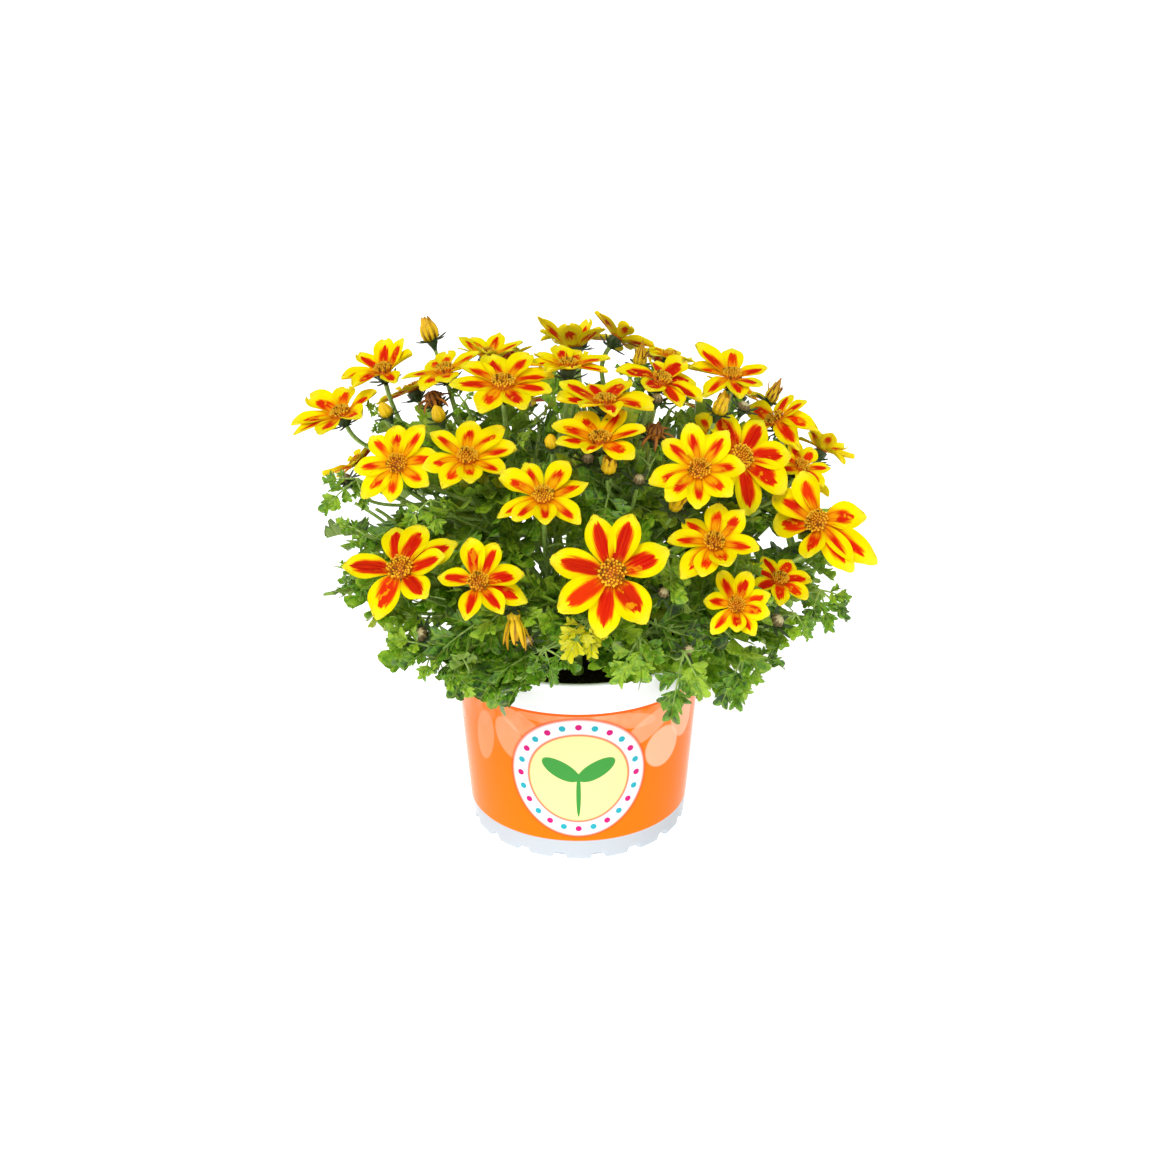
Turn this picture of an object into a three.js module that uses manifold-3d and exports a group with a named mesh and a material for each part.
// A bidens in a 12 cm trade pot: a plastic pot, the peat in it, leafy stems that grow out of
// the peat and fork into flower stalks, and a striped yellow and red bloom on every stalk.
// Units are millimetres, +Z is up, and the origin is the centre of the pot's flat base.
import * as THREE from 'three';
import * as BufferGeometryUtils from 'three/addons/utils/BufferGeometryUtils.js';
import Module from 'manifold-3d';

const wasm = await Module();
wasm.setup();

// Pot: a thin tapered wall, a collar above the printed band, and a ring of low feet
const POT_HEIGHT = 96;
const RIM_RADIUS = 60;
const FOOT_RADIUS = 52.2;
const WALL = 1.2;
const COLLAR_DEPTH = 16;
const COLLAR_STEP = 0.7;
const LIP = 0.6;
const LIP_HEIGHT = 2;
const PLATE = 1.5;
const CORNER_RADIUS = 46;
const CORNER_HEIGHT = 4.6;
const POT_SIDES = 30;
const FEET = 18;
const FOOT_GAP_ANGLE = 6.5;
const FOOT_GAP_HEIGHT = 2.8;
const FOOT_GAP_DEPTH = 4;
const DRAIN_HOLES = 4;
const DRAIN_RADIUS = 2.6;
const DRAIN_CIRCLE = 34;

// Peat: it fills the pot to a little below the rim, and every stem stands in its own hole
const PEAT_EDGE = 88;
const PEAT_CROWN = 91;
const PEAT_SIDES = 20;
const PEAT_CLEARANCE = 0.6;
const SEAT = 0.3;
const STEM_HOLE_GAP = 0.6;
const STEM_HOLE_FLOOR = 70;

// Bush: blooms stand on an egg-shaped dome, and leaves fill a lower one inside it
const DOME_CENTRE = [0, 0, 126];
const DOME_HALF = [124, 118, 112];
const LEAF_DOME_TOP = 0.84;
const LEAF_DOME_CORE = 0.56;
const LEAF_LOWEST = 76;
const LOW_STEMS = { count: 8, rise: 6, start: 0, circle: 36, leaves: 5 };
const HIGH_STEMS = { count: 6, rise: 50, start: 30, circle: 15, leaves: 6 };
const STEM_REACH = 0.6;
const STEM_UPRIGHT = 18;
const STEM_SAG = 8;
const STEM_RADIUS = [1.9, 1.2];
const STEM_RINGS = 6;
const STALK_FORKS = [0.25, 0.9];
const STALK_AIM = 1.6;
const STALK_BEND = 0.35;
const STALK_RADIUS = 1.05;
const STALK_RINGS = 3;

// Bloom: petals on a low bumpy disc, in shares of the bloom's reach, with its thicknesses in mm
const DISC = 0.2;
const SINUS = 0.3;
const PETAL_WIDEST = [0.63, 0.235];
const PETAL_END = [0.94, 0.11];
const PETAL_SLANT = 0.04;
const PETAL_MIDDLE = 0.56;
const PETAL_THICKNESS = 0.9;
const DISC_THICKNESS = 1.6;
const DISC_TOP = 2.9;
const DISC_BUMPS = 1.9;
const CALYX_DEPTH = 5;
const CALYX = { share: 0.17, more: 1.6, notch: 0.62 };

// Leaf: a stalk and two pairs of cut leaflets below an end leaflet, in shares of its length
const LEAF_TRIES = 60;
const LEAF_LENGTH = [34, 46];
const LEAF_ROLL = [-0.6, 0.6];
const LEAF_FOLD = [-0.15, 0.35];
const LEAF_NOD = [0.15, -0.75];
const LEAF_THICKNESS = 0.9;
const LEAF_STALK_WIDTH = 0.017;
const RIB_STATIONS = [0, 0.34, 0.47, 0.66, 0.83];
const LEAF_EDGE = [
  [0, LEAF_STALK_WIDTH], [0.34, 0.02], [0.45, 0.31], [0.58, 0.2], [0.56, 0.05],
  [0.66, 0.27], [0.79, 0.17], [0.76, 0.05], [0.85, 0.15], [1, 0],
];
const EDGE_HOSTS = [[0, 1], [1, 1], [1, 4], [4, 7], [7, 9]];

// Reference view: an eye in front of and above the pot, looking along +Y and down. Places that
// are read off the photograph are pixels of its square frame, turned into sight lines from it.
const EYE = [-0.6, -730, 438];
const EYE_PITCH = 23.7;
const EYE_YAW = 0.3;
const FOCAL_PIXELS = 1699;
const FRAME_MIDDLE = 585;

const DEGREE = Math.PI / 180;
const MERGE_WITHIN = 1e-3;

// Vectors are plain arrays of three numbers
const add = (a, b, k = 1) => [a[0] + k * b[0], a[1] + k * b[1], a[2] + k * b[2]];
const scale = (a, k) => [a[0] * k, a[1] * k, a[2] * k];
const dot = (a, b) => a[0] * b[0] + a[1] * b[1] + a[2] * b[2];
const cross = (a, b) => [a[1] * b[2] - a[2] * b[1], a[2] * b[0] - a[0] * b[2], a[0] * b[1] - a[1] * b[0]];
const length = (a) => Math.sqrt(dot(a, a));
const unit = (a) => scale(a, 1 / length(a));
const distance = (a, b) => length(add(a, b, -1));
const mix = (a, b, t) => a + (b - a) * t;

// A repeatable draw between 0 and 1 that depends only on the three whole numbers given
function chance(a, b = 0, c = 0) {
  const wave = Math.sin(a * 127.1 + b * 311.7 + c * 74.7 + 5.3) * 43758.5453;
  return wave - Math.floor(wave);
}

// The eye's three axes: right, up and forward
function eyeAxes() {
  const pitch = EYE_PITCH * DEGREE;
  const yaw = EYE_YAW * DEGREE;
  const forward = [Math.sin(yaw) * Math.cos(pitch), Math.cos(yaw) * Math.cos(pitch), -Math.sin(pitch)];
  const right = unit(cross(forward, [0, 0, 1]));
  return { right, up: cross(right, forward), forward };
}

const VIEW = eyeAxes();

// The direction of the sight line through a pixel
function sightLine([u, v]) {
  const level = add(scale(VIEW.forward, FOCAL_PIXELS), VIEW.right, u - FRAME_MIDDLE);
  return unit(add(level, VIEW.up, FRAME_MIDDLE - v));
}

// Where a sight line meets the dome, or comes nearest to it, moved back along the line
function domeSight(pixel, back) {
  const line = sightLine(pixel);
  const from = add(EYE, DOME_CENTRE, -1).map((x, i) => x / DOME_HALF[i]);
  const step = line.map((x, i) => x / DOME_HALF[i]);
  const a = dot(step, step);
  const b = dot(from, step);
  const gap = b * b - a * (dot(from, from) - 1);
  return add(EYE, line, (-b - Math.sqrt(Math.max(gap, 0))) / a + back);
}

// A point of the dome by its turn from the front and its rise, in degrees
function domePoint(turn, rise, share = 1) {
  const t = turn * DEGREE;
  const r = rise * DEGREE;
  const out = [Math.cos(r) * Math.sin(t), -Math.cos(r) * Math.cos(t), Math.sin(r)];
  return DOME_CENTRE.map((c, i) => c + share * DOME_HALF[i] * out[i]);
}

// A bloom's facing from how it looks in the reference view: open is its short width over its
// long one, below 0 where its back shows, and lean is the way it tips, 90 for up
function facing(pixel, open, lean) {
  const line = sightLine(pixel);
  const side = unit(cross(line, [0, 0, 1]));
  const rise = cross(side, line);
  const tip = Math.sqrt(1 - open * open);
  const across = add(scale(side, Math.cos(lean * DEGREE)), rise, Math.sin(lean * DEGREE));
  return unit(add(scale(line, -open), across, tip));
}

// Blooms that the reference view shows: disc centre, reach in mm, petals, open, lean, spin in
// degrees, cup in degrees, and how far behind the dome's face the bloom stands
const FRONT_BLOOMS = [
  { at: [612, 574], reach: 25.8, petals: 7, open: 0.97, lean: 90, spin: 105, cup: 4, back: 0 },
  { at: [543, 497], reach: 19.4, petals: 8, open: 0.75, lean: 92, spin: 60, cup: 10, back: 0 },
  { at: [478, 583], reach: 19.0, petals: 7, open: 0.9, lean: 90, spin: 104, cup: 6, back: 0 },
  { at: [400, 569], reach: 24.0, petals: 7, open: 0.86, lean: 110, spin: 84, cup: 12, back: 3 },
  { at: [397, 464], reach: 18.6, petals: 8, open: 0.93, lean: 120, spin: 92, cup: 6, back: 2 },
  { at: [467, 458], reach: 19.6, petals: 8, open: 0.74, lean: 88, spin: 92, cup: 12, back: 8 },
  { at: [383, 371], reach: 18.5, petals: 7, open: 0.45, lean: 100, spin: 58, cup: 32, back: -4 },
  { at: [341, 414], reach: 21.5, petals: 7, open: 0.42, lean: 112, spin: 170, cup: 24, back: -8 },
  { at: [445, 371], reach: 19.0, petals: 7, open: 0.36, lean: 102, spin: 196, cup: 12, back: 6 },
  { at: [503, 384], reach: 22.6, petals: 8, open: 0.56, lean: 90, spin: 62, cup: 8, back: -4 },
  { at: [487, 355], reach: 18.0, petals: 7, open: 0.28, lean: 84, spin: 75, cup: 30, back: 40 },
  { at: [574, 346], reach: 19.5, petals: 7, open: -0.16, lean: 96, spin: 130, cup: 34, back: 34 },
  { at: [568, 366], reach: 18.0, petals: 8, open: 0.28, lean: 90, spin: 100, cup: 10, back: 2 },
  { at: [617, 337], reach: 17.0, petals: 7, open: -0.3, lean: 54, spin: 40, cup: 18, back: 38 },
  { at: [669, 357], reach: 14.5, petals: 7, open: 0.16, lean: 74, spin: 20, cup: 14, back: 44 },
  { at: [661, 380], reach: 19.6, petals: 7, open: 0.44, lean: 68, spin: 60, cup: 6, back: 4 },
  { at: [732, 376], reach: 19.5, petals: 7, open: 0.5, lean: 86, spin: 104, cup: 28, back: 0 },
  { at: [605, 402], reach: 21.0, petals: 8, open: 0.38, lean: 90, spin: 66, cup: 10, back: -2 },
  { at: [600, 440], reach: 19.8, petals: 7, open: 0.55, lean: 94, spin: 62, cup: 14, back: -2 },
  { at: [699, 470], reach: 20.2, petals: 8, open: 0.9, lean: 84, spin: 50, cup: 6, back: -4 },
  { at: [740, 457], reach: 24.5, petals: 7, open: 0.84, lean: 30, spin: 54, cup: 4, back: 22 },
  { at: [714, 437], reach: 15.5, petals: 7, open: 0.6, lean: 90, spin: 64, cup: 14, back: 36 },
  { at: [776, 420], reach: 19.5, petals: 7, open: 0.45, lean: 126, spin: 30, cup: 16, back: 20 },
  { at: [822, 449], reach: 16.5, petals: 7, open: -0.14, lean: 66, spin: 90, cup: 32, back: 10 },
  { at: [818, 522], reach: 24.0, petals: 7, open: 0.84, lean: 140, spin: 104, cup: 4, back: -4 },
  { at: [714, 543], reach: 19.4, petals: 8, open: 0.84, lean: 86, spin: 84, cup: 6, back: 0 },
  { at: [736, 606], reach: 15.2, petals: 8, open: 0.94, lean: 84, spin: 64, cup: 8, back: -2 },
  { at: [801, 467], reach: 15.0, petals: 7, open: 0.6, lean: 60, spin: 20, cup: 10, back: 14 },
  { at: [779, 580], reach: 16.0, petals: 7, open: 0.66, lean: 70, spin: 34, cup: 8, back: 26 },
];

// How far the petals of the two nearest blooms stand off even spacing, in degrees
const PETAL_SHIFTS = [
  { bloom: 0, shifts: [1, 10, 8, -2, -2, 17, 11] },
  { bloom: 2, shifts: [-4, 3, 21, 28, 18, 9, 2] },
];
const PETAL_JITTER = 5;

// Blooms that the view hides: turn from the front and rise on the dome, in degrees
const BACK_BLOOMS = [
  [118, 14], [145, 24], [172, 10], [199, 28], [226, 12], [250, 20],
  [127, 40], [154, 45], [180, 55], [207, 46], [234, 40],
];
const BACK_REACH = [17, 22];

const BACK_SPREAD = { turn: 8, share: [0.97, 1.01], lift: [0.5, 1], sideways: 0.5, cup: [4, 20] };

// Buds that the view shows: place, head radius in mm, and how far behind the dome's face
const BUDS = [
  { at: [430, 334], radius: 3.9, back: 2 }, { at: [386, 412], radius: 2.9, back: 6 },
  { at: [344, 478], radius: 2.7, back: 6 }, { at: [439, 416], radius: 3, back: 14 },
  { at: [551, 443], radius: 2.6, back: 12 }, { at: [609, 467], radius: 3.4, back: 8 },
  { at: [588, 458], radius: 2.6, back: 14 }, { at: [639, 479], radius: 2.6, back: 10 },
  { at: [744, 406], radius: 2.7, back: 4 }, { at: [657, 398], radius: 2.6, back: 4 },
  { at: [720, 408], radius: 3.6, back: 2 }, { at: [772, 396], radius: 3.8, back: 8 },
  { at: [676, 504], radius: 4, back: 12 }, { at: [664, 592], radius: 2.5, back: 10 },
  { at: [689, 650], radius: 2.4, back: 12 }, { at: [528, 640], radius: 2.5, back: 12 },
  { at: [778, 620], radius: 3, back: 10 }, { at: [420, 634], radius: 3.2, back: 12 },
  { at: [514, 617], radius: 3.8, back: 8 }, { at: [434, 400], radius: 3.8, back: 24 },
];
const BUD_NUMBERS = 100;
const CARVED_BUD_RADIUS = 3.1;
const BUD_STALK_RADIUS = 0.8;
const BUD_TAIL = 2;
const BUD_LIFT = 0.9;
const BUD_LEVELS = [[-0.4, 1], [1, 0.5]];

// Leaves that hang over the rim: turn from the front, tip height, and length in mm
const RIM_LEAVES = [
  { turn: -31, tip: 83, length: 52 }, { turn: -19, tip: 79, length: 50 },
  { turn: 12, tip: 88, length: 40 }, { turn: 31, tip: 78, length: 50 },
  { turn: 56, tip: 84, length: 52 }, { turn: -58, tip: 86, length: 46 },
  { turn: 84, tip: 90, length: 44 }, { turn: -88, tip: 92, length: 46 },
  { turn: 116, tip: 82, length: 50 }, { turn: 148, tip: 86, length: 48 },
  { turn: 176, tip: 80, length: 52 }, { turn: 206, tip: 88, length: 46 },
  { turn: 236, tip: 82, length: 50 },
];
const RIM_LEAF = { joint: 0.33, above: 19, beyond: 11, clear: [6, 12], roll: [-0.25, 0.25], fold: [-0.1, 0.15] };

// Every bloom: its disc centre, facing, reach and petal layout
function placedBlooms() {
  const front = FRONT_BLOOMS.map((row) => ({
    ...row,
    centre: domeSight(row.at, row.back),
    normal: facing(row.at, row.open, row.lean),
  }));
  const back = BACK_BLOOMS.map(([turn, rise], i) => {
    const spread = BACK_SPREAD;
    const centre = domePoint(turn + spread.turn * (chance(i, 1) - 0.5), rise, mix(...spread.share, chance(i, 2)));
    const outward = unit(add(centre, DOME_CENTRE, -1));
    const side = cross([0, 0, 1], outward);
    const lifted = add(outward, [0, 0, 1], mix(...spread.lift, chance(i, 3)));
    const normal = unit(add(lifted, side, spread.sideways * (chance(i, 4) - 0.5)));
    const reach = mix(...BACK_REACH, chance(i, 5));
    const cup = mix(...spread.cup, chance(i, 7));
    return { centre, normal, reach, petals: i % 3 ? 8 : 7, spin: 360 * chance(i, 6), cup };
  });
  return [...front, ...back];
}

// A point along a curve with three or four guide points
function along(guides, t) {
  const s = 1 - t;
  const shares = guides.length === 3
    ? [s * s, 2 * s * t, t * t]
    : [s * s * s, 3 * s * s * t, 3 * s * t * t, t * t * t];
  return guides.reduce((sum, guide, i) => add(sum, guide, shares[i]), [0, 0, 0]);
}

const heading = (guides, t) => unit(add(along(guides, t + 0.01), along(guides, t - 0.01), -1));

// Leafy stems in two circles: each rises out of its hole and leans towards its own part of the dome
function leafyStems() {
  return [LOW_STEMS, HIGH_STEMS].flatMap(({ count, rise, start, circle, leaves: leafCount }) =>
    Array.from({ length: count }, (_, i) => {
      const turn = start + (i * 360) / count;
      const [x, y] = [circle * Math.sin(turn * DEGREE), -circle * Math.cos(turn * DEGREE)];
      const end = domePoint(turn, rise, STEM_REACH);
      const foot = [x, y, PEAT_CROWN + 1];
      const guides = [foot, add(foot, [0, 0, 1], STEM_UPRIGHT - 1), add(end, [0, 0, 1], -STEM_SAG), end];
      return { aim: unit(add(domePoint(turn, rise), DOME_CENTRE, -1)), guides, leafCount, stalks: [], leaves: [] };
    }));
}

// The stem whose part of the dome a place belongs to
function nearestStem(stems, place) {
  const aim = unit(add(place, DOME_CENTRE, -1));
  return stems.reduce((best, stem) => (dot(stem.aim, aim) > dot(best.aim, aim) ? stem : best));
}

// The joint nearest to a share of a stem's or stalk's length: all that grows on it starts at one
const joint = (share, rings) => Math.round(share * rings) / rings;

// A flower or bud stalk: it leaves its stem, swings outwards and meets the head square on
function stalk(stem, head, axis, tailLength, number) {
  const fork = joint(mix(...STALK_FORKS, chance(number, 11)), STEM_RINGS);
  const start = along(stem.guides, fork);
  const end = add(head, axis, -tailLength);
  const span = distance(start, end);
  const leave = unit(add(heading(stem.guides, fork), unit(add(end, start, -1)), STALK_AIM));
  const bend = STALK_BEND * span;
  return { guides: [start, add(start, leave, bend), add(end, axis, -bend), end] };
}

const blooms = placedBlooms();
const stems = leafyStems();

blooms.forEach((bloom, i) => {
  const stem = nearestStem(stems, bloom.centre);
  stem.stalks.push({ ...stalk(stem, bloom.centre, bloom.normal, CALYX_DEPTH + DISC_THICKNESS, i), bloom });
});
BUDS.forEach((bud, i) => {
  const centre = domeSight(bud.at, bud.back);
  const stem = nearestStem(stems, centre);
  const axis = unit(add(unit(add(centre, DOME_CENTRE, -1)), [0, 0, 1], BUD_LIFT));
  const { guides } = stalk(stem, centre, axis, BUD_TAIL * bud.radius, BUD_NUMBERS + i);
  stem.stalks.push({ guides, bud: { ...bud, centre, axis } });
});

// A leaf's own frame at a share of its length: rib point, sideways and upper-face directions
function leafFrame(leaf, share) {
  const run = heading(leaf.guides, Math.min(Math.max(share, 0.02), 0.98));
  const side = unit(cross(run, leaf.face));
  const up = cross(side, run);
  const [c, s] = [Math.cos(leaf.roll), Math.sin(leaf.roll)];
  return {
    point: along(leaf.guides, share),
    side: add(scale(side, c), up, s),
    up: add(scale(up, c), side, -s),
  };
}

// A place on a leaf by shares of its length along and across the rib, its halves folded up
function leafPlace(leaf, share, across) {
  const { point, side, up } = leafFrame(leaf, share);
  const out = add(point, side, across * leaf.length);
  return add(out, up, leaf.fold * Math.abs(across) * leaf.length);
}

const LEAF_PROBES = [
  [0.2, 0], [0.38, 0], [0.5, -0.26], [0.5, -0.1], [0.5, 0.1], [0.5, 0.26],
  [0.74, -0.22], [0.74, 0], [0.74, 0.22], [0.95, 0],
];
const PROBE_GAP = { stalk: 5.5, leaf: 6, ownStalk: 4.2, ownLeaf: 5.5 };
const POT_GAP = { beside: 4, above: 3 };
const BLOOM_GAP = { beside: 2.5, below: 5.5, above: 5 };
const STICK_STEP = 4;

const probes = (leaf) => LEAF_PROBES.map(([share, across]) => leafPlace(leaf, share, across));

// How far out a place lies in the leaf dome, 1 at its face
function leafDomeShare(place) {
  const [x, y, z] = add(place, DOME_CENTRE, -1).map((d, i) => d / DOME_HALF[i]);
  return Math.hypot(x, y, z > 0 ? z / LEAF_DOME_TOP : z);
}

// Inside the leaf dome, and clear of the pot, of the peat and of the way over the rim
function insideBush(place) {
  const ring = Math.hypot(place[0], place[1]);
  const beside = ring > RIM_RADIUS + POT_GAP.beside;
  const clearOfPot = place[2] > (beside ? LEAF_LOWEST : POT_HEIGHT + POT_GAP.above);
  return clearOfPot && leafDomeShare(place) < 1;
}

// Clear of every bloom: beside its petals, well below them, or above its open cup
function clearOfBlooms(place) {
  return blooms.every(({ centre, normal, reach, cup }) => {
    const from = add(place, centre, -1);
    const height = dot(from, normal);
    const ring = length(add(from, normal, -height));
    const top = BLOOM_GAP.above + reach * Math.sin(cup * DEGREE);
    return ring > reach + BLOOM_GAP.beside || height < -BLOOM_GAP.below || height > top;
  });
}

// Clear of what already stands there, closer to what it grows with than to its neighbours
function clearOfPlanned(places, owner, taken) {
  return taken.every((other) => {
    const own = other.owner === owner;
    const gap = PROBE_GAP[own ? (other.leaf ? 'ownLeaf' : 'ownStalk') : (other.leaf ? 'leaf' : 'stalk')];
    return places.every((place, i) => (own && i < 2) || distance(place, other.place) > gap);
  });
}

// Points a few millimetres apart along every stem and stalk
function plannedSticks() {
  return stems.flatMap((stem) => [stem, ...stem.stalks].flatMap(({ guides }) => {
    const steps = Math.ceil(distance(guides[0], guides[3]) / STICK_STEP);
    return Array.from({ length: steps + 1 }, (_, i) => ({ owner: stem, place: along(guides, i / steps) }));
  }));
}

// One try at a leaf: it leaves its stem or a stalk sideways and bows outwards and down
function leafTry(stem, stemNumber, turn) {
  const draw = (i) => chance(stemNumber, turn, 20 + i);
  const carriers = [stem, stem, ...stem.stalks.filter(({ bloom }) => bloom)];
  const carrier = carriers[Math.floor(draw(0) * carriers.length)];
  const t = carrier === stem ? joint(mix(0.2, 1, draw(1)), STEM_RINGS) : joint(mix(0.2, 0.7, draw(1)), STALK_RINGS);
  const base = along(carrier.guides, t);
  const run = heading(carrier.guides, t);
  const outward = unit([base[0] + 0.01, base[1], 0.3 * (base[2] - 110)]);
  const side = unit(cross(run, [0.1, 0.2, 1]));
  const angle = 2 * Math.PI * draw(2);
  const away = add(scale(side, Math.cos(angle)), cross(run, side), Math.sin(angle));
  const start = unit(add(add(scale(away, 0.9), run, 0.35), outward, 0.45));
  const size = mix(...LEAF_LENGTH, draw(3));
  const middle = add(base, start, 0.5 * size);
  const end = unit(add(add(start, outward, 0.35), [0, 0, 1], mix(...LEAF_NOD, draw(4))));
  return {
    guides: [base, middle, add(middle, end, 0.52 * size)],
    start,
    length: size,
    face: unit(add(scale(outward, 0.5), [0, 0, 1])),
    roll: mix(...LEAF_ROLL, draw(5)),
    fold: mix(...LEAF_FOLD, draw(6)),
  };
}

// A leaf that leaves its stem near the peat, lies over the rim and hangs down outside it
function rimLeaf({ turn, tip, length: size }, number) {
  const out = [Math.sin(turn * DEGREE), -Math.cos(turn * DEGREE), 0];
  const stem = nearestStem(stems, add(DOME_CENTRE, out, 100));
  const base = along(stem.guides, joint(RIM_LEAF.joint, STEM_RINGS));
  const over = add([0, 0, POT_HEIGHT + RIM_LEAF.above], out, RIM_RADIUS + RIM_LEAF.beyond);
  const end = add([0, 0, tip], out, RIM_RADIUS + mix(...RIM_LEAF.clear, chance(number, 31)));
  const leaf = {
    guides: [base, over, end],
    start: out,
    length: size,
    face: unit(add(scale(out, 0.8), [0, 0, 0.6])),
    roll: mix(...RIM_LEAF.roll, chance(number, 32)),
    fold: mix(...RIM_LEAF.fold, chance(number, 33)),
  };
  return { stem, leaf };
}

// Leaves at one joint point away from each other
function freeJoint(stem, { guides: [base], start }) {
  return stem.leaves.every((other) => distance(other.guides[0], base) > 1 || dot(other.start, start) < 0.2);
}

function growLeaves() {
  const taken = plannedSticks();
  const keep = (stem, leaf) => {
    stem.leaves.push(leaf);
    probes(leaf).forEach((place) => taken.push({ owner: stem, place, leaf: true }));
  };
  RIM_LEAVES.forEach((row, i) => {
    const { stem, leaf } = rimLeaf(row, i);
    keep(stem, leaf);
  });
  const tries = stems.map(() => 0);
  const rounds = Math.max(...stems.map(({ leafCount }) => leafCount));
  for (let round = 0; round < rounds; round += 1) {
    stems.forEach((stem, number) => {
      if (round >= stem.leafCount) return;
      for (; tries[number] < LEAF_TRIES * (round + 1); tries[number] += 1) {
        const leaf = leafTry(stem, number, tries[number]);
        const places = probes(leaf);
        const outside = leafDomeShare(places.at(-1)) > LEAF_DOME_CORE && freeJoint(stem, leaf);
        const fits = outside && places.every(insideBush) && places.every(clearOfBlooms);
        if (fits && clearOfPlanned(places, stem, taken)) {
          keep(stem, leaf);
          tries[number] += 1;
          break;
        }
      }
    });
  }
}

growLeaves();

// A closed body from its corners and triangles, turned so that its faces point outwards
function body(corners, triangles) {
  const volume = triangles.reduce((sum, [a, b, c]) => sum + dot(corners[a], cross(corners[b], corners[c])), 0);
  const faces = volume > 0 ? triangles : triangles.map(([a, b, c]) => [a, c, b]);
  return new wasm.Manifold(new wasm.Mesh({
    numProp: 3,
    vertProperties: new Float32Array(corners.flat()),
    triVerts: new Uint32Array(faces.flat()),
  }));
}

// A three.js geometry as a body: shared corners are merged, and triangles without area dropped
function solid(geometry) {
  geometry.deleteAttribute('normal');
  geometry.deleteAttribute('uv');
  const { attributes: { position }, index } = BufferGeometryUtils.mergeVertices(geometry, MERGE_WITHIN);
  const corner = (i) => [position.getX(i), position.getY(i), position.getZ(i)];
  const corners = Array.from({ length: position.count }, (_, i) => corner(i));
  const triangles = Array.from({ length: index.count / 3 }, (_, i) => [0, 1, 2].map((k) => index.getX(3 * i + k)));
  return body(corners, triangles.filter(([a, b, c]) => a !== b && b !== c && c !== a));
}

// A named mesh from a body
function mesh(name, shape, material) {
  const { vertProperties, triVerts } = shape.getMesh();
  const geometry = new THREE.BufferGeometry();
  geometry.setAttribute('position', new THREE.BufferAttribute(new Float32Array(vertProperties), 3));
  geometry.setIndex(new THREE.BufferAttribute(new Uint32Array(triVerts), 1));
  geometry.computeVertexNormals();
  const node = new THREE.Mesh(geometry, material);
  node.name = name;
  return node;
}

// A skin over rings of corners, where a ring may have twice as many corners as the last
function skinned(rings) {
  const corners = rings.flat();
  const triangles = [];
  const firsts = rings.map((_, i) => rings.slice(0, i).flat().length);
  for (let k = 0; k + 1 < rings.length; k += 1) {
    const [n, m] = [rings[k].length, rings[k + 1].length];
    const low = (i) => firsts[k] + (i % n);
    const high = (i) => firsts[k + 1] + (i % m);
    const ratio = m / n;
    for (let i = 0; i < n; i += 1) {
      for (let j = 0; j < ratio; j += 1) triangles.push([low(i), high(i * ratio + j + 1), high(i * ratio + j)]);
      triangles.push([low(i), low(i + 1), high((i + 1) * ratio)]);
    }
  }
  const first = firsts.at(-1);
  for (let i = 1; i + 1 < rings[0].length; i += 1) triangles.push([0, i + 1, i]);
  for (let i = 1; i + 1 < rings.at(-1).length; i += 1) triangles.push([first, first + i, first + i + 1]);
  return { corners, triangles };
}

// A ring of corners round a point, square to a direction; every other corner may lie further in
function ring(point, run, side, radius, sides, inner = 1) {
  const other = cross(run, side);
  return Array.from({ length: sides }, (_, i) => {
    const angle = (2 * Math.PI * i) / sides;
    const reach = i % 2 ? radius * inner : radius;
    return add(add(point, side, reach * Math.cos(angle)), other, reach * Math.sin(angle));
  });
}

// Rings along a curve, each turned as little as possible from the last
function curveRings(guides, radii, sides, count) {
  let side = unit(cross(heading(guides, 0.01), [0.3, 0.2, 0.9]));
  return Array.from({ length: count + 1 }, (_, i) => {
    const t = i / count;
    const run = heading(guides, Math.min(Math.max(t, 0.01), 0.99));
    side = unit(add(side, run, -dot(side, run)));
    return { rim: ring(along(guides, t), run, side, mix(...radii, t), sides), run, side };
  });
}

function stemBody(stem) {
  const rings = curveRings(stem.guides, STEM_RADIUS, 4, STEM_RINGS).map(({ rim }) => rim);
  const foot = rings[0].map(([x, y]) => [x, y, STEM_HOLE_FLOOR]);
  const { corners, triangles } = skinned([foot, ...rings]);
  return body(corners, triangles);
}

// A flower stalk that opens into the green cup behind its bloom
function flowerStalkBody({ guides, bloom }) {
  const rings = curveRings(guides, [STALK_RADIUS, STALK_RADIUS], 3, STALK_RINGS);
  const { side } = rings.at(-1);
  const across = unit(add(side, bloom.normal, -dot(side, bloom.normal)));
  const top = add(bloom.centre, bloom.normal, -DISC_THICKNESS / 2 - SEAT);
  const cup = ring(top, bloom.normal, across, CALYX.share * bloom.reach + CALYX.more, 6, CALYX.notch);
  const { corners, triangles } = skinned([...rings.map(({ rim }) => rim), cup]);
  return body(corners, triangles);
}

// A bud stalk that swells into the bud's head
function budStalkBody({ guides, bud }) {
  const rings = curveRings(guides, [BUD_STALK_RADIUS, BUD_STALK_RADIUS], 3, STALK_RINGS);
  const { side } = rings.at(-1);
  const across = unit(add(side, bud.axis, -dot(side, bud.axis)));
  const level = (height, radius) =>
    ring(add(bud.centre, bud.axis, height * bud.radius), bud.axis, across, radius * bud.radius, 6);
  const head = BUD_LEVELS.map(([height, radius]) => level(height, radius));
  const { corners, triangles } = skinned([...rings.map(({ rim }) => rim), ...head]);
  return body(corners, triangles);
}

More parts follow.
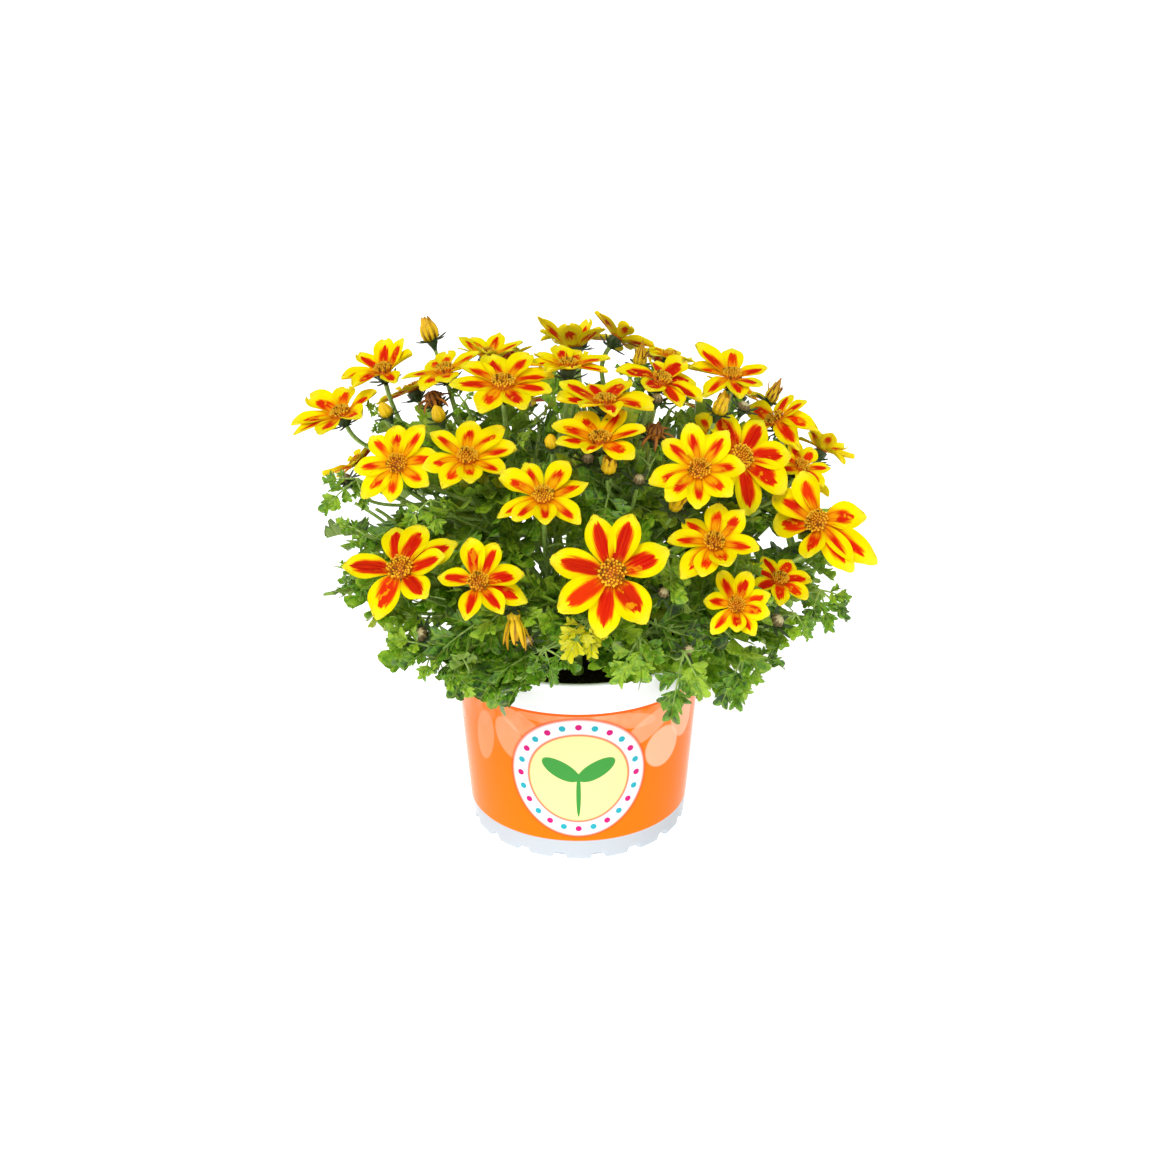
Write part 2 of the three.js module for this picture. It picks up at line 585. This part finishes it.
// A cut leaf: both faces share one edge, and the rib lies above it on one and below it on the other
function leafBody(leaf) {
  const left = LEAF_EDGE.map(([share, across]) => leafPlace(leaf, share, -across));
  const right = LEAF_EDGE.slice(0, -1).map(([share, across]) => leafPlace(leaf, share, across));
  const half = LEAF_THICKNESS / 2;
  const faceRib = (sign) => RIB_STATIONS.map((share) => {
    const { point, up } = leafFrame(leaf, share);
    return add(point, up, sign * half);
  });
  const corners = [...left, ...right, ...faceRib(1), ...faceRib(-1)];
  const [rightFirst, topFirst] = [left.length, left.length + right.length];
  const lowFirst = topFirst + RIB_STATIONS.length;
  const tip = left.length - 1;
  const triangles = [];
  const face = (edge, rib, flip) => {
    const push = (a, b, c) => triangles.push(flip ? [a, c, b] : [a, b, c]);
    EDGE_HOSTS.forEach(([from, to], host) => {
      for (let i = from; i < to; i += 1) push(rib + host, edge(i), edge(i + 1));
      if (host + 1 < EDGE_HOSTS.length) push(rib + host, edge(to), rib + host + 1);
    });
  };
  const leftEdge = (i) => i;
  const rightEdge = (i) => (i === tip ? tip : rightFirst + i);
  face(leftEdge, topFirst, false);
  face(rightEdge, topFirst, true);
  face(leftEdge, lowFirst, true);
  face(rightEdge, lowFirst, false);
  triangles.push([topFirst, lowFirst, 0], [topFirst, rightFirst, lowFirst]);
  return body(corners, triangles);
}

// A bloom's own axes in the plane of its petals
function bloomAxes({ normal }) {
  const across = unit(cross([0, 0, 1], normal));
  return [across, cross(normal, across)];
}

// The turn of a petal about its bloom's axis, in degrees, also for numbers below 0
function petalTurn({ spin, petals }, number, k) {
  const row = PETAL_SHIFTS.find(({ bloom }) => bloom === number);
  const petal = (k + petals) % petals;
  const shift = row ? row.shifts[petal] : PETAL_JITTER * (chance(number, petal, 40) - 0.5);
  return spin + (360 / petals) * k + shift;
}

// One bloom in a single skin: petals round a low bumpy disc, meeting at the notches between them
function bloomBody(bloom, number) {
  const { centre, normal, reach, petals, cup } = bloom;
  const [across, other] = bloomAxes(bloom);
  const place = (angle, radius, height) => {
    const out = add(scale(across, Math.cos(angle * DEGREE)), other, Math.sin(angle * DEGREE));
    return add(add(centre, out, radius), normal, height);
  };
  const corners = [place(0, 0, DISC_TOP), place(0, 0, -DISC_THICKNESS / 2)];
  const triangles = [];
  const stride = 10;
  const corner = (petal, i) => 2 + stride * (petal % petals) + i;
  for (let k = 0; k < petals; k += 1) {
    const draw = (i) => chance(number, k, 40 + i);
    const middle = petalTurn(bloom, number, k);
    const size = reach * mix(0.93, 1.03, draw(1));
    const lift = (cup + 14 * (draw(2) - 0.5)) * DEGREE;
    const curl = mix(0.02, 0.3, draw(3));
    const petalPlace = ([share, width], height = 0) => {
      const run = share - DISC;
      const radius = reach * DISC + size * run * Math.cos(lift);
      const turn = Math.atan2(width * size, radius) / DEGREE;
      const rise = size * (run * Math.sin(lift) - curl * run * run);
      return place(middle + turn, Math.hypot(radius, width * size), rise + height);
    };
    const notch = (petalTurn(bloom, number, k - 1) + middle) / 2;
    corners.push(
      place(notch, SINUS * reach, 0.1 * reach * Math.sin(cup * DEGREE)),
      petalPlace([PETAL_WIDEST[0], -PETAL_WIDEST[1]]),
      petalPlace([PETAL_END[0], -PETAL_END[1]]),
      petalPlace([PETAL_END[0] + PETAL_SLANT, PETAL_END[1]]),
      petalPlace([PETAL_WIDEST[0], PETAL_WIDEST[1]]),
      petalPlace([PETAL_MIDDLE, 0], PETAL_THICKNESS / 2),
      petalPlace([PETAL_MIDDLE, 0], -PETAL_THICKNESS / 2),
      place(notch, 0.85 * DISC * reach, DISC_BUMPS),
      place(middle, DISC * reach, 1),
      place(middle, 0.16 * reach, -DISC_THICKNESS / 2),
    );
    const at = (i) => corner(k, i);
    const next = (i) => corner(k + 1, i);
    const outline = [at(0), at(1), at(2), at(3), at(4), next(0)];
    for (let i = 0; i < 5; i += 1) {
      triangles.push([outline[i], outline[i + 1], at(5)], [outline[i + 1], outline[i], at(6)]);
    }
    triangles.push(
      [at(0), at(5), at(8)], [at(5), next(0), at(8)], [at(0), at(8), at(7)], [next(0), next(7), at(8)],
      [at(7), at(8), 0], [at(8), next(7), 0],
      [at(6), at(0), at(9)], [next(0), at(6), at(9)], [next(0), at(9), next(9)], [next(9), at(9), 1],
    );
  }
  return body(corners, triangles);
}

// The pot: a turned shell with gaps cut between its feet and drain holes through its floor
function potBody() {
  const step = COLLAR_STEP;
  const slope = (RIM_RADIUS - FOOT_RADIUS) / POT_HEIGHT;
  const wall = (height) => FOOT_RADIUS + slope * height;
  const collar = POT_HEIGHT - COLLAR_DEPTH;
  const profile = [
    [0, 0], [FOOT_RADIUS, 0], [wall(collar) - step, collar], [wall(collar), collar + step],
    [wall(POT_HEIGHT - LIP_HEIGHT), POT_HEIGHT - LIP_HEIGHT], [RIM_RADIUS + LIP, POT_HEIGHT - LIP_HEIGHT + LIP],
    [RIM_RADIUS + LIP, POT_HEIGHT], [RIM_RADIUS - WALL, POT_HEIGHT], [wall(collar) - step - WALL, collar - step],
    [wall(CORNER_HEIGHT) - step - WALL, CORNER_HEIGHT + 0.4], [CORNER_RADIUS, CORNER_HEIGHT],
    [CORNER_RADIUS - 2, PLATE], [0, PLATE],
  ];
  const shell = turned(profile, POT_SIDES);
  const gaps = Array.from({ length: FEET }, (_, i) => {
    const turn = ((i + 0.5) * 2 * Math.PI) / FEET;
    const width = FOOT_RADIUS * FOOT_GAP_ANGLE * DEGREE;
    const block = new THREE.BoxGeometry(width, 2 * FOOT_GAP_DEPTH, 2 * FOOT_GAP_HEIGHT);
    block.translate(0, -FOOT_RADIUS, 0);
    block.rotateZ(turn);
    return solid(block);
  });
  const drains = Array.from({ length: DRAIN_HOLES }, (_, i) => {
    const turn = (i * 2 * Math.PI) / DRAIN_HOLES;
    return upright(DRAIN_CIRCLE * Math.sin(turn), DRAIN_CIRCLE * Math.cos(turn), DRAIN_RADIUS, -1, PLATE + 1);
  });
  return shell.subtract(wasm.Manifold.union([...gaps, ...drains]));
}

// A body turned round the pot's axis from a profile of radius and height
function turned(profile, sides) {
  const geometry = new THREE.LatheGeometry(profile.map(([r, z]) => new THREE.Vector2(r, z)), sides);
  geometry.rotateX(Math.PI / 2);
  return solid(geometry);
}

// An upright six-sided prism, to cut a drain hole with
function upright(x, y, radius, bottom, top) {
  const prism = new THREE.CylinderGeometry(radius, radius, top - bottom, 6);
  prism.rotateX(Math.PI / 2);
  prism.translate(x, y, (bottom + top) / 2);
  return solid(prism);
}

// The peat: it fills the pot and has a plain hole for each stem
function peatBody() {
  const slope = (RIM_RADIUS - FOOT_RADIUS) / POT_HEIGHT;
  const inner = (height) => FOOT_RADIUS + slope * height - COLLAR_STEP - WALL - PEAT_CLEARANCE;
  const profile = [
    [0, PLATE + SEAT], [CORNER_RADIUS - 2.4, PLATE + SEAT], [CORNER_RADIUS - 0.3, CORNER_HEIGHT + SEAT],
    [inner(CORNER_HEIGHT) - 0.4, CORNER_HEIGHT + 0.4 + SEAT], [inner(PEAT_EDGE), PEAT_EDGE], [0, PEAT_CROWN],
  ];
  const holes = stems.map((stem) => {
    const rim = curveRings(stem.guides, [STEM_RADIUS[0] + STEM_HOLE_GAP, 0], 4, STEM_RINGS)[0].rim;
    const levels = [STEM_HOLE_FLOOR - SEAT, PEAT_CROWN + 5].map((z) => rim.map(([x, y]) => [x, y, z]));
    const { corners, triangles } = skinned(levels);
    return body(corners, triangles);
  });
  return turned(profile, PEAT_SIDES).subtract(wasm.Manifold.union(holes));
}

// One leafy stem with all that grows on it but the blooms
function leafyStemBody(stem) {
  return wasm.Manifold.union([
    stemBody(stem),
    ...stem.stalks.filter(({ bloom }) => bloom).map(flowerStalkBody),
    ...stem.stalks.filter(({ bud }) => bud && bud.radius >= CARVED_BUD_RADIUS).map(budStalkBody),
    ...stem.leaves.map(leafBody),
  ]);
}

const finish = (color, roughness) => new THREE.MeshStandardMaterial({ color, roughness, metalness: 0 });
const potFinish = finish('#f5862a', 0.4);
const peatFinish = finish('#2a1f1c', 0.95);
const leafFinish = finish('#5d9420', 0.6);
const petalFinish = finish('#f8c60c', 0.55);

const bidens = new THREE.Group();
bidens.add(mesh('pot', potBody(), potFinish));
bidens.add(mesh('peat', peatBody(), peatFinish));
stems.forEach((stem, i) => bidens.add(mesh(`leafy_stem_${i + 1}`, leafyStemBody(stem), leafFinish)));
blooms.forEach((bloom, i) => bidens.add(mesh(`bloom_${i + 1}`, bloomBody(bloom, i), petalFinish)));

export default bidens;
